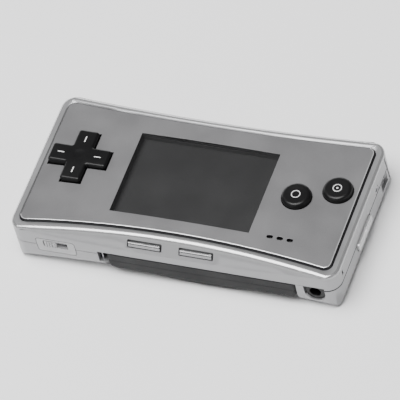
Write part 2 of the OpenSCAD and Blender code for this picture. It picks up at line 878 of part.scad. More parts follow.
slot_w = knob_w + knob_travel + 0.5;
slot_h = 2.5;
slot_z = 0.8;
module power_switch_panel() {
    color("#bfc1c5") translate([switch_x, 0, switch_z]) facing_rear(-half_d) linear_extrude(1.2)
        difference() {
            round_rect(switch_w, switch_h, 0.9, small_fn);
            translate([-0.1, slot_z]) round_rect(slot_w, slot_h, 0.3, small_fn);
        }
}

module power_knob() {
    left = -slot_w / 2 + 0.3;
    color("#d4d5d7") translate([switch_x, 0, switch_z + slot_z]) {
        box([left, -half_d - 0.1, -slot_h / 2 + 0.1],
            [left + knob_w, -half_d + 1.4, slot_h / 2 - 0.1]);
        // Grip ribs
        for (i = [0 : 3])
            box([left + 0.35 + i * 0.85, -half_d - 0.4, -slot_h / 2 + 0.1],
                [left + 0.75 + i * 0.85, -half_d, slot_h / 2 - 0.1]);
        box([-switch_w / 2 + 0.1, -half_d + 1.25, -2], [-switch_w / 2 + 8.5, -half_d + 1.75, 1.7]);
    }
}

module power_switch() {
    color("#35363a") box([switch_x - 5.6, -half_d + 2.1, seam_z - 2.4],
        [switch_x + 5.6, -half_d + 4.9, board_bottom]);
}

module headphone_jack() {
    nose = 0.5;
    color("#17171a") difference() {
        facing_rear(-half_d + nose) linear_extrude(jack_l) jack_outline(0);
        translate([jack_x, -half_d - 1, jack_z]) rotate([-90, 0, 0])
            cylinder(jack_l - 0.2, r = jack_r, $fn = small_fn);
        for (x = [-1, 1]) contact_strip(x, 0.05);
    }
}

// One leaf contact along the jack's side
module contact_strip(side, grow) {
    translate([jack_x + side * (jack_nose_r - 0.35), -half_d + 7.5, jack_z])
        cube([0.5 + 2 * grow, 7 + 2 * grow, 1.6 + 2 * grow], center = true);
}

module headphone_contacts() {
    color("#c9a44c") for (side = [-1, 1]) contact_strip(side, 0);
}

// The cartridge's plan, with small round corners at its outer end
module cart_plan(grow) {
    w = cart_w + 2 * grow;
    translate([cart_x, 0]) {
        translate([-w / 2, cart_front + 3]) square([w, cart_l - 3]);
        translate([0, cart_front + 3]) round_rect(w, 6, 1, small_fn);
    }
}

// Its upright profile: the two lower corners are round
cart_corner_r = 2.3;
module cart_block() {
    intersection() {
        translate([0, 0, cart_bottom - 3]) linear_extrude(cart_t + 3) cart_plan(0);
        facing_rear(cart_front) linear_extrude(cart_l)
            translate([cart_x, cart_bottom + cart_t / 2])
                round_bottom(cart_w, cart_t, cart_corner_r);
    }
}

// The hollow of the cartridge, open at its inner end
module cart_hollow() {
    box([cart_x - cart_w / 2 + cart_wall + 1, cart_front + 2, cart_bottom + cart_wall],
        [cart_x + cart_w / 2 - cart_wall - 1, cart_rear + over, cart_top - cart_wall]);
}

cart_screw_y = cart_front + 11;
module cartridge_lower_half() {
    hump_r = arc_r(hump_w / 2, hump_h);
    hump_l = open_l - 1.2;
    color("#4a4b4d") difference() {
        union() {
            intersection() {
                cart_block();
                slab(-1, cart_split);
            }
            // Hump under the outer end
            intersection() {
                translate([cart_x, 0, cart_bottom - hump_h + hump_r]) rotate([90, 0, 0])
                    cylinder(body_d * 2, r = hump_r, center = true, $fn = large_fn);
                box([cart_x - hump_w, cart_front + 0.6, cart_bottom - hump_h],
                    [cart_x + hump_w, cart_front + hump_l, cart_bottom + 0.3]);
            }
        }
        cart_hollow();
        label_form(0.05);
    }
    color("#4a4b4d") difference() {
        translate([cart_x, cart_screw_y, cart_bottom + 0.6])
            cylinder(cart_t - 2.4, r = 1.8, $fn = small_fn);
        cart_screw_hole(0);
    }
}

module cart_screw_hole(grow) {
    translate([cart_x, cart_screw_y, cart_bottom + 1.6])
        cylinder(cart_t, r = 0.6 + grow, $fn = small_fn);
}

module cartridge_upper_half() {
    color("#4a4b4d") difference() {
        intersection() {
            cart_block();
            slab(cart_split, crown_h);
        }
        cart_hollow();
        cart_screw_hole(0.05);
        translate([cart_x, cart_screw_y, cart_top - 0.7])
            cylinder(2, r = 1.5, $fn = small_fn);
    }
}

module cartridge_screw() {
    color("#8d8f92") difference() {
        translate([cart_x, cart_screw_y, 0]) {
            translate([0, 0, cart_top - 0.7]) cylinder(0.6, r = 1.4, $fn = small_fn);
            translate([0, 0, cart_bottom + 1.7])
                cylinder(cart_t - 2.3, r = 0.55, $fn = small_fn);
        }
        // Drive recess
        for (turn = [0 : 120 : 240]) translate([cart_x, cart_screw_y, cart_top - 0.1])
            rotate([0, 0, turn]) box([0, -0.2, -0.35], [0.9, 0.2, 0.2]);
    }
}

cart_board_z = cart_split - 0.5;
module cartridge_board() {
    color("#2f6b3c") translate([0, 0, cart_board_z]) linear_extrude(0.8) difference() {
        translate([cart_x - cart_w / 2 + 3.2, cart_front + 3])
            square([cart_w - 6.4, cart_l - 4.5]);
        translate([cart_x, cart_screw_y]) circle(2.2, $fn = small_fn);
    }
}

module label_form(grow) {
    label_t = 0.15;
    intersection() {
        translate([cart_x, cart_rear - 9.5, cart_bottom + label_t / 2 + grow / 2])
            cube([cart_w - 14 + 2 * grow, 14 + 2 * grow, label_t + grow], center = true);
        slab(-1, cart_top);
    }
}

module cartridge_label() {
    color("#d8d8d4") label_form(0);
}

// The socket that the cartridge's board plugs into
module cartridge_socket() {
    nose_l = 6.5;
    w = cart_w - 7.5;
    color("#222326") difference() {
        union() {
            box([cart_x - cart_w / 2, cart_rear + 0.4, cart_bottom + 0.35],
                [cart_x + cart_w / 2, cart_rear + 6, board_bottom]);
            box([cart_x - w / 2, cart_rear - nose_l, cart_bottom + cart_wall + 0.25],
                [cart_x + w / 2, cart_rear + 1, cart_top - cart_wall - 0.25]);
        }
        box([cart_x - cart_w / 2 + 2.9, cart_rear - nose_l - 1, cart_board_z - 0.3],
            [cart_x + cart_w / 2 - 2.9, cart_rear - 1, cart_board_z + 1.1]);
        for (i = [-contact_n : contact_n]) socket_contact(i, 0.05);
    }
}

// One of the socket's contacts, as many each side of the middle as the cartridge's hollow takes
contact_pitch = 1.5;
contact_n = floor((cart_w / 2 - cart_wall - 4.5) / contact_pitch);
module socket_contact(i, grow) {
    translate([cart_x + i * contact_pitch, cart_rear + 1.5, cart_board_z + 0.4])
        cube([0.6 + 2 * grow, 5.4, 0.3 + 2 * grow], center = true);
}

module socket_contacts() {
    color("#c9a44c") for (i = [-contact_n : contact_n]) socket_contact(i, 0);
}

module extension_connector() {
    color("#222326") difference() {
        box([-9, half_d - 6.5, 4.6], [9, half_d - 0.8, seam_z - 0.1]);
        box([-7.6, half_d - 5, 5.5], [7.6, half_d + 1, 7.5]);
    }
    color("#222326") box([-6.6, half_d - 5.5, 6.2], [6.6, half_d - 1.6, 6.8]);
}

battery_w = 18.6;
battery_d = 29;
battery_h = 5.7;
battery_right = bay_left - wall - free_gap - strap_l + 1.4;
battery_x = battery_right - battery_w / 2;
battery_low = belly(battery_right) + wall + 2 * seat_gap;
module battery() {
    color("#3d4f8a") translate([battery_x, 2.5, battery_low + battery_h / 2])
        rotate([90, 0, 0]) linear_extrude(battery_d, center = true)
            round_rect(battery_w, battery_h, 1.2, small_fn);
}

module battery_contacts() {
    color("#c9a44c") for (i = [0 : 2])
        translate([battery_x + (i - 1) * 3, 2.5 + battery_d / 2 + 0.6, seam_z - 1])
            cube([1.2, 1, 5.1 - 0.4], center = true);
}

module speaker() {
    color("#2b2c2f") translate([speaker_x, speaker_y + 0.3, board_top + 0.1]) {
        cylinder(1.6, r = speaker_r, $fn = round_fn);
        cylinder(2.1, r1 = speaker_r - 0.6, r2 = speaker_r - 1.6, $fn = round_fn);
    }
}

module case_screws() {
    color("#8d8f92") for (at = screw_places) translate([at.x, at.y, 0]) {
        difference() {
            translate([0, 0, screw_seat - 1]) cylinder(0.95, r = screw_head_r, $fn = small_fn);
            for (turn = [0, 90]) rotate([0, 0, turn])
                translate([0, 0, screw_seat - 1]) cube([1.6, 0.35, 0.8], center = true);
        }
        translate([0, 0, screw_seat - 0.3]) cylinder(seam_z + 3.2 - screw_seat, r = screw_r,
            $fn = small_fn);
    }
}

module side_screws() {
    color("#c4c6c9") for (side = [0, 1]) mirror([side, 0, 0])
        translate([half_l, side_screw_y, side_screw_z]) rotate([0, -90, 0]) difference() {
            union() {
                translate([0, 0, 0.05]) cylinder(0.6, r = side_screw_r, $fn = small_fn);
                cylinder(3.8, r = 0.6, $fn = small_fn);
            }
            for (turn = [0, 90]) rotate([0, 0, turn]) cube([0.35, 1.7, 0.7], center = true);
        }
}

module faceplate_latches() {
    leaf_x = hook_x + 0.5 + 0.15;
    color("#8d8f92") for (side = [0, 1]) mirror([side, 0, 0])
        box([leaf_x, release_y - 1.3, seam_z + 0.4], [leaf_x + 0.25, release_y + 1.3, release_z + 1.1]);
}

module strap_bar() {
    color("#c4c6c9") translate([strap_x, strap_y, strap_low])
        cylinder(bay_top - 0.05 - strap_low, r = strap_r, $fn = small_fn);
}

back_shell();
front_shell();
faceplate();
display_window();
display_gasket();
display_module();
display_tray();
main_board();
d_pad();
d_pad_pivot();
d_pad_membrane();
button_a();
button_b();
button_membrane();
start_button();
select_button();
start_select_membrane();
shoulder_button_left();
shoulder_button_right();
shoulder_pin_left();
shoulder_pin_right();
shoulder_switch_left();
shoulder_switch_right();
volume_rocker();
volume_rocker_pin();
volume_switch();
power_switch_panel();
power_knob();
power_switch();
headphone_jack();
headphone_contacts();
cartridge_lower_half();
cartridge_upper_half();
cartridge_board();
cartridge_label();
cartridge_screw();
cartridge_socket();
socket_contacts();
extension_connector();
battery();
battery_contacts();
speaker();
case_screws();
side_screws();
faceplate_latches();
strap_bar();
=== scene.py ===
"""A pocket game console with its cartridge in, on a pale floor under soft light.

Everything is in metres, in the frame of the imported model: X along the length, +Y away
from the player, +Z up, and the origin under the middle of the body."""
import json
import math

import bmesh
import bpy
from mathutils import Matrix, Vector

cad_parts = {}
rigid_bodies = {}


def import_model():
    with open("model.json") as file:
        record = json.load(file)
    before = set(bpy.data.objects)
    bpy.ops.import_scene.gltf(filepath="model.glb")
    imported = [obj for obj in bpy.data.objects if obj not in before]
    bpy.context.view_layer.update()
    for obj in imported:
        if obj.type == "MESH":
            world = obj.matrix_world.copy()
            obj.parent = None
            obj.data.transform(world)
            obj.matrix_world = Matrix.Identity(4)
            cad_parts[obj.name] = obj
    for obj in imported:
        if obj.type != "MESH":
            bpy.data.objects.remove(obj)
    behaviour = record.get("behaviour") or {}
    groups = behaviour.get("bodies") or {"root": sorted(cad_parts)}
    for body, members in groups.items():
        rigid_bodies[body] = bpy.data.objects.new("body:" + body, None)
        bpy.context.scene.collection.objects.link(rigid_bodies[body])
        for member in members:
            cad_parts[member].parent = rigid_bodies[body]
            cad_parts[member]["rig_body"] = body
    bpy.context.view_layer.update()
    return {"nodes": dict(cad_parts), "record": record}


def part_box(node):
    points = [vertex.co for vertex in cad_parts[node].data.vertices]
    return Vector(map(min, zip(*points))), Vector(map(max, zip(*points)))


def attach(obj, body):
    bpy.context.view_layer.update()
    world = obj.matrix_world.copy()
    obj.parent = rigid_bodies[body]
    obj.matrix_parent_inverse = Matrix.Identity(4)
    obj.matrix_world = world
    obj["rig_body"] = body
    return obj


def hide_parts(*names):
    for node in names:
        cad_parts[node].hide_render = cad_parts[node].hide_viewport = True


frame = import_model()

MM = 0.001
NODES = frame["nodes"]
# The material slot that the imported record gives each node
SLOTS = {
    entry.get("node", entry.get("name")): entry.get("material_slot")
    for entry in frame["record"].get("subparts", [])
}
# Half the body's length and depth, the height of the seam, and the faceplate's right end
HALF_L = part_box("back_shell")[1].x
HALF_D = -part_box("back_shell")[0].y
SEAM_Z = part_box("front_shell")[0].z
PLATE_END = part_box("faceplate")[1].x
# The faceplate's long edges, and the shell's rim beside them, lie further front or rear than this
LONG_EDGE_Y = 16.5 * MM
# The front shell's rim lies above this height
RIM_Z = 14 * MM

# The camera: a long lens at the photograph's angle
CAMERA_AIM = Vector((0.01, -0.76, 8.6)) * MM
CAMERA_AZIMUTH = math.radians(31.49)
CAMERA_ELEVATION = math.radians(50.03)
CAMERA_ROLL = math.radians(-16.03)
CAMERA_DISTANCE = 1.2914
CAMERA_LENS = 397.13


# ---------------------------------------------------------------- stage

def view_rotation(azimuth, elevation, roll=0.0):
    """The rotation of a camera or lamp that looks at the object from there."""
    return (
        Matrix.Rotation(azimuth, 3, "Z")
        @ Matrix.Rotation(math.pi / 2 - elevation, 3, "X")
        @ Matrix.Rotation(roll, 3, "Z")
    )


def place(thing, turn, distance, aim):
    """Puts thing at distance from aim, looking at it along its own -Z."""
    thing.matrix_world = Matrix.Translation(aim + turn @ Vector((0, 0, distance))) @ turn.to_4x4()
    bpy.context.scene.collection.objects.link(thing)


def make_camera():
    """The scene's camera, at the photograph's angle."""
    data = bpy.data.cameras.new("camera")
    data.sensor_width = 36
    data.lens = CAMERA_LENS
    data.clip_start = 0.05
    camera = bpy.data.objects.new("camera", data)
    place(camera, view_rotation(CAMERA_AZIMUTH, CAMERA_ELEVATION, CAMERA_ROLL),
          CAMERA_DISTANCE, CAMERA_AIM)
    bpy.context.scene.camera = camera


def softbox(name, azimuth, elevation, distance, width, height, power):
    """An oblong lamp that looks at the middle from azimuth and elevation, in degrees."""
    data = bpy.data.lights.new(name, "AREA")
    data.shape = "RECTANGLE"
    data.size = width
    data.size_y = height
    data.energy = power
    lamp = bpy.data.objects.new(name, data)
    turn = view_rotation(math.radians(azimuth), math.radians(elevation))
    place(lamp, turn, distance, Vector((0, 0, 0)))


def make_stage():
    """A pale floor, a pale sky and four softboxes."""
    world = bpy.data.worlds.new("pale_room")
    world.use_nodes = True
    sky = world.node_tree.nodes["Background"]
    sky.inputs["Color"].default_value = (1, 1, 1, 1)
    sky.inputs["Strength"].default_value = 0.2
    bpy.context.scene.world = world
    mesh = bpy.data.meshes.new("floor")
    reach = 3.0
    mesh.from_pydata([(-reach, -reach, 0), (reach, -reach, 0), (reach, reach, 0),
                      (-reach, reach, 0)], [], [(0, 1, 2, 3)])
    floor = bpy.data.objects.new("floor", mesh)
    bpy.context.scene.collection.objects.link(floor)
    material, shader = new_material("floor", (0.93, 0.93, 0.935), roughness=0.9)
    shader.inputs["Specular IOR Level"].default_value = 0.1
    mesh.materials.append(material)
    softbox("overhead", azimuth=-30, elevation=78, distance=0.9, width=0.8, height=0.6, power=18)
    softbox("front", azimuth=-20, elevation=20, distance=0.9, width=0.8, height=0.4, power=1.2)
    softbox("right", azimuth=75, elevation=25, distance=0.9, width=0.5, height=0.4, power=0.3)
    softbox("behind_left", azimuth=-142, elevation=9, distance=1.1, width=1.6, height=0.4,
            power=7)


# ---------------------------------------------------------------- materials

def new_material(name, color, metallic=0.0, roughness=0.5, **sockets):
    """A material whose constants sit on its shader's own sockets."""
    material = bpy.data.materials.new(name)
    material.use_nodes = True
    shader = material.node_tree.nodes["Principled BSDF"]
    shader.inputs["Base Color"].default_value = (*color, 1)
    shader.inputs["Metallic"].default_value = metallic
    shader.inputs["Roughness"].default_value = roughness
    for socket, value in sockets.items():
        shader.inputs[socket.replace("_", " ")].default_value = value
    material.diffuse_color = (*color, 1)
    return material, shader


def add_node(tree, kind, settings=None, inputs=None):
    """A node with its settings, and its input values or links by socket name."""
    node = tree.nodes.new(kind)
    for key, value in (settings or {}).items():
        setattr(node, key, value)
    for key, value in (inputs or {}).items():
        if isinstance(value, bpy.types.NodeSocket):
            tree.links.new(value, node.inputs[key])
        else:
            node.inputs[key].default_value = value
    return node


def noise(tree, size, detail=2.0):
    """Noise whose lumps are about size metres across, in the piece's own space."""
    where = add_node(tree, "ShaderNodeTexCoord").outputs["Object"]
    made = add_node(tree, "ShaderNodeTexNoise",
                    inputs={"Vector": where, "Scale": 1 / size, "Detail": detail})
    return made.outputs["Fac"]


def ramp(tree, factor, stops):
    """Colours along factor; stops is a list of (position, colour)."""
    made = add_node(tree, "ShaderNodeValToRGB", inputs={"Fac": factor})
    elements = made.color_ramp.elements
    for index, (position, color) in enumerate(stops):
        element = elements[index] if index < 2 else elements.new(position)
        element.position = position
        element.color = (*color, 1)
    return made.outputs["Color"]


def spread(tree, factor, low, high):
    """Turns a noise, which lies mostly between 0.3 and 0.7, into values from low to high."""
    made = add_node(tree, "ShaderNodeMapRange",
                    inputs={"Value": factor, "From Min": 0.3, "From Max": 0.7,
                            "To Min": low, "To Max": high})
    return made.outputs["Result"]


def times(color, factor):
    """A colour made brighter or darker."""
    return tuple(min(1.0, c * factor) for c in color)


def grained(name, color, contrast=0.1, grain=0.12, relief=0.1, metallic=0.0, roughness=0.5,
            rough_spread=0.06, cloud=9.0, **sockets):
    """A finish with a fine grain, faint clouds of tone and an uneven gloss. grain and cloud in mm."""
    material, shader = new_material(name, color, metallic, roughness, **sockets)
    tree = material.node_tree
    fine = noise(tree, grain * MM, detail=3)
    broad = noise(tree, cloud * MM, detail=3)
    cloud_share = 0.35
    both = add_node(tree, "ShaderNodeMix", {"data_type": "FLOAT"},
                    {0: cloud_share, 2: fine, 3: broad}).outputs[0]
    tone = ramp(tree, both, [(0.3, times(color, 1 - contrast)), (0.7, times(color, 1 + contrast))])
    tree.links.new(tone, shader.inputs["Base Color"])
    tree.links.new(spread(tree, broad, roughness - rough_spread, roughness + rough_spread),
                   shader.inputs["Roughness"])
    bump = add_node(tree, "ShaderNodeBump",
                    inputs={"Height": fine, "Strength": relief, "Distance": grain * MM * 0.5})
    tree.links.new(bump.outputs["Normal"], shader.inputs["Normal"])
    return material


def screen_material():
    """A dark display: fine rows and columns of cells under a faint cloudy sheen."""
    cell = 0.18 * MM
    material, shader = new_material("screen", (0.05, 0.05, 0.053), roughness=0.35)
    tree = material.node_tree
    where = add_node(tree, "ShaderNodeTexCoord").outputs["Object"]
    cells = add_node(tree, "ShaderNodeTexBrick", {"offset": 0.0},
                     {"Vector": where, "Scale": 1.0, "Brick Width": cell, "Row Height": cell,
                      "Mortar Size": cell * 0.1, "Color1": (0.031, 0.031, 0.0315, 1),
                      "Color2": (0.029, 0.029, 0.0295, 1), "Mortar": (0.026, 0.026, 0.0265, 1)})
    tree.links.new(cells.outputs["Color"], shader.inputs["Base Color"])
    tree.links.new(spread(tree, noise(tree, 12 * MM), 0.3, 0.42), shader.inputs["Roughness"])
    return material


def board_material():
    """Green solder mask over faint copper tracks."""
    material, shader = new_material("board", (0.02, 0.12, 0.05), roughness=0.35, Coat_Weight=0.3)
    tree = material.node_tree
    where = add_node(tree, "ShaderNodeTexCoord").outputs["Object"]
    tracks = add_node(tree, "ShaderNodeTexVoronoi", {"feature": "DISTANCE_TO_EDGE"},
                      {"Vector": where, "Scale": 1 / (1.6 * MM)}).outputs["Distance"]
    tone = ramp(tree, tracks, [(0.05, (0.035, 0.19, 0.07)), (0.09, (0.015, 0.10, 0.04))])
    tree.links.new(tone, shader.inputs["Base Color"])
    tree.links.new(spread(tree, noise(tree, 2 * MM), 0.28, 0.42), shader.inputs["Roughness"])
    return material


def label_material():
    """Paper with two plain bands of colour and no writing."""
    material, shader = new_material("label", (0.7, 0.7, 0.68), roughness=0.45, Coat_Weight=0.25)
    tree = material.node_tree
    low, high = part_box("cartridge_label")
    where = add_node(tree, "ShaderNodeTexCoord").outputs["Object"]
    across = add_node(tree, "ShaderNodeSeparateXYZ", inputs={"Vector": where}).outputs["Y"]
    share = add_node(tree, "ShaderNodeMapRange",
                     inputs={"Value": across, "From Min": low.y, "From Max": high.y}).outputs["Result"]
    bands = ramp(tree, share, [(0.0, (0.62, 0.62, 0.6)), (0.62, (0.10, 0.22, 0.38)),
                               (0.78, (0.62, 0.36, 0.08)), (0.86, (0.62, 0.62, 0.6))])
    bands.node.color_ramp.interpolation = "CONSTANT"
    tree.links.new(bands, shader.inputs["Base Color"])
    tree.links.new(spread(tree, noise(tree, 0.4 * MM), 0.38, 0.52), shader.inputs["Roughness"])
    return material


def window_material():
    """Clear moulded plastic with a faint grey tint."""
    material, shader = new_material("window", (0.02, 0.02, 0.021), roughness=0.08, Alpha=0.12,
                                    Specular_IOR_Level=0.4)
    tree = material.node_tree
    tree.links.new(spread(tree, noise(tree, 6 * MM), 0.05, 0.12), shader.inputs["Roughness"])
    return material


MATERIALS = {
    "shell": grained("shell", (0.30, 0.30, 0.306), contrast=0.05, grain=0.1, relief=0.08,
                     metallic=0.55, roughness=0.34),
    # The rim's fillet: lighter and glossier than the shell; the lighter colour is a painted highlight.
    "rim": grained("rim", (0.40, 0.40, 0.405), contrast=0.04, grain=0.1, relief=0.04,
                   metallic=0.7, roughness=0.2, rough_spread=0.03),
    # Near black on the seam's chamfer and round the power panel: painted shade in the gaps.
    "seam": grained("seam", (0.02, 0.02, 0.021), contrast=0.2, grain=0.2, relief=0.05,
                    roughness=0.6, Specular_IOR_Level=0.1),
    "plate": grained("plate", (0.165, 0.164, 0.168), contrast=0.14, grain=0.16, relief=0.12,
                     metallic=0.45, roughness=0.42, cloud=14),
    # Near white on the faceplate's crest where it faces the camera: a painted highlight.
    "plate_edge_highlight": grained("plate_edge_highlight", (0.62, 0.62, 0.63), contrast=0.05, grain=0.3, relief=0.02,
                          metallic=0.5, roughness=0.12),
    # Near black on the faceplate's sloping edge and walls: painted shade and dark reflection.
    "plate_side_shade": grained("plate_side_shade", (0.012, 0.012, 0.013), contrast=0.15, grain=0.3, relief=0.03,
                          roughness=0.18, Specular_IOR_Level=0.4),
    "window": window_material(),
    "gasket": grained("gasket", (0.06, 0.06, 0.061), contrast=0.15, grain=0.15, relief=0.2,
                      roughness=0.6, Specular_IOR_Level=0.3),
    "display": screen_material(),
    "steel": grained("steel", (0.3, 0.3, 0.31), contrast=0.08, grain=0.2, relief=0.1,
                     metallic=0.95, roughness=0.26),
    "board": board_material(),
    "black": grained("black", (0.005, 0.005, 0.0053), contrast=0.25, grain=0.14, relief=0.05,
                     roughness=0.3, rough_spread=0.04, Specular_IOR_Level=0.22),
    "dark": grained("dark", (0.012, 0.012, 0.013), contrast=0.2, grain=0.2, relief=0.12,
                    roughness=0.5),
    "membrane": grained("membrane", (0.1, 0.102, 0.105), contrast=0.12, grain=0.25, relief=0.2,
                        roughness=0.75, Sheen_Weight=0.2),
    "clear_bar": grained("clear_bar", (0.36, 0.36, 0.37), contrast=0.12, grain=0.5, relief=0.08,
                         metallic=0.8, roughness=0.14, rough_spread=0.05, cloud=2.5),
    # Near white on the bars' ridge: a painted highlight.
    "ridge": grained("ridge", (0.85, 0.85, 0.86), contrast=0.06, grain=0.4, relief=0.03,
                     metallic=0.9, roughness=0.12, rough_spread=0.04, cloud=2.5),
    "rocker": grained("rocker", (0.6, 0.6, 0.605), contrast=0.05, grain=0.15, relief=0.06,
                      metallic=0.3, roughness=0.3),
    # Near black round and under the bars: painted shade in the gaps.
    "bar_side_shade": grained("bar_side_shade", (0.012, 0.012, 0.013), contrast=0.2, grain=0.2, relief=0.05,
                        roughness=0.3),
    "light": grained("light", (0.36, 0.36, 0.365), contrast=0.05, grain=0.15, relief=0.08,
                     metallic=0.25, roughness=0.38),
    "cartridge": grained("cartridge", (0.015, 0.015, 0.0156), contrast=0.2, grain=0.22, relief=0.4,
                         roughness=0.55, rough_spread=0.08, Specular_IOR_Level=0.22),
    "label": label_material(),
    "brass": grained("brass", (0.5, 0.33, 0.1), contrast=0.1, grain=0.2, relief=0.05,
                     metallic=1.0, roughness=0.25),
    "battery": grained("battery", (0.03, 0.055, 0.16), contrast=0.1, grain=0.3, relief=0.08,
                       roughness=0.35, Coat_Weight=0.2),
    "mark": grained("mark", (0.62, 0.62, 0.62), contrast=0.04, grain=0.1, relief=0.05,
                    roughness=0.45),
}


def finish_cad_nodes():
    """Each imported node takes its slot's material."""
    for name, thing in NODES.items():
        thing.data.materials.clear()
        thing.data.materials.append(MATERIALS[SLOTS[name]])


# ---------------------------------------------------------------- shapes

def new_piece(name, mesh, materials, body):
    """A shown piece from a bmesh; it rides on a body."""
    data = bpy.data.meshes.new(name)
    mesh.to_mesh(data)
    mesh.free()
    for material in materials:
        data.materials.append(MATERIALS[material])
    data.shade_smooth()
    data.set_sharp_from_angle(angle=math.radians(38))
    piece = bpy.data.objects.new(name, data)
    bpy.context.scene.collection.objects.link(piece)
    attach(piece, body)
    weighted = piece.modifiers.new("even_normals", "WEIGHTED_NORMAL")
    weighted.keep_sharp = True
    return piece


def cad_mesh(node):
    """A node's mesh with its seams closed and its flat faces whole."""
    mesh = bmesh.new()
    mesh.from_mesh(NODES[node].data)
    bmesh.ops.remove_doubles(mesh, verts=mesh.verts, dist=1e-6)
    bmesh.ops.dissolve_limit(mesh, angle_limit=math.radians(0.08), verts=mesh.verts,
                             edges=mesh.edges)
    mesh.normal_update()
    return mesh


def corner_edges(mesh, wanted=None):
    """The convex edges sharper than 30 degrees; with wanted, only those that it accepts."""
    least_angle = math.radians(30)
    found = []
    for edge in mesh.edges:
        if len(edge.link_faces) != 2 or edge.calc_face_angle_signed(0) < least_angle:
            continue
        middle = (edge.verts[0].co + edge.verts[1].co) / 2
        if wanted is None or wanted(middle, [face.normal for face in edge.link_faces]):
            found.append(edge)
    return found


def round_off(mesh, edges, width, segments, limit=False):
    """Rounds edges off, and returns the new faces; with limit, the width gives way to short edges."""
    made = bmesh.ops.bevel(mesh, geom=edges, offset=width, segments=segments, profile=0.5,
                           affect="EDGES", clamp_overlap=limit)
    mesh.normal_update()
    return made["faces"]


def stand_in(node, mesh, materials=None):
    """A piece that stands for a node, on its body and with its finish."""
    slot = SLOTS[node]
    piece = new_piece(node + "_finished", mesh, materials or [slot], NODES[node]["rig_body"])
    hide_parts(node)


def faces_out(middle, normal):
    """Whether a normal at middle points away from the body's upright middle line."""
    flat = Vector((middle.x, middle.y, 0))
    return flat.length > 0 and normal.dot(flat.normalized()) > 0.3


def on_outside(middle):
    """Whether a point lies close to the body's upright sides."""
    skin_depth = 1.0 * MM
    corner = 4.5 * MM
    near_side = abs(middle.x) > HALF_L - skin_depth
    near_front = abs(middle.y) > HALF_D - skin_depth
    in_corner = abs(middle.x) > HALF_L - corner and abs(middle.y) > HALF_D - corner
    return near_side or near_front or in_corner


def straighten_corner_creases(mesh):
    """Makes one edge of each short crease between a bevel and a corner, so a fillet has room."""
    corner = 4.8 * MM
    band = 0.4 * MM
    for side_x in (-1, 1):
        for side_y in (-1, 1):
            crease = [vertex for vertex in mesh.verts
                      if side_x * vertex.co.x > HALF_L - corner and vertex.co.z > RIM_Z
                      and side_y * vertex.co.y > HALF_D - band]
            crease.sort(key=lambda vertex: vertex.co.z)
            if len(crease) > 2:
                targets = {vertex: crease[0] for vertex in crease[1:-1]}
                bmesh.ops.weld_verts(mesh, targetmap=targets)
    mesh.normal_update()


def shells():
    """Both shells, with a painted highlight on the rim's fillet and painted shade on the seam's
    chamfer at the right end.
    """
    finishes = ["shell", "rim", "seam"]
    rim_fillet = 0.85 * MM
    seam_chamfer = 0.16 * MM
    seam_band = 0.3 * MM
    plate_gap = 0.2 * MM
    seam_shade_start_x = HALF_L - 7.4 * MM
    front = cad_mesh("front_shell")
    straighten_corner_creases(front)

    def along_rim(middle, normals):
        upward = any(n.z > 0.9 for n in normals)
        outward = any(abs(n.z) < 0.85 and faces_out(middle, n) for n in normals)
        beside_plate = abs(middle.x) > PLATE_END + plate_gap or abs(middle.y) > LONG_EDGE_Y
        return upward and outward and beside_plate and middle.z > RIM_Z

    def along_seam(middle, normals):
        level = any(abs(n.z) > 0.95 for n in normals)
        outward = any(abs(n.z) < 0.3 and faces_out(middle, n) for n in normals)
        at_seam = abs(middle.z - SEAM_Z) < seam_band
        return level and outward and at_seam and on_outside(middle)

    # The rim's fillet takes a lighter, glossier finish than the shell: the lighter colour is a painted
    # highlight.
    for face in round_off(front, corner_edges(front, along_rim), rim_fillet, segments=5):
        face.material_index = finishes.index("rim")
    back = cad_mesh("back_shell")
    for node, mesh in (("front_shell", front), ("back_shell", back)):
        for face in round_off(mesh, corner_edges(mesh, along_seam), seam_chamfer, segments=1):
            # Only near the right end is the seam's chamfer painted near black: painted shade in the
            # gap between the shells.
            if face.calc_center_median().x > seam_shade_start_x:
                face.material_index = finishes.index("seam")
        stand_in(node, mesh, finishes)


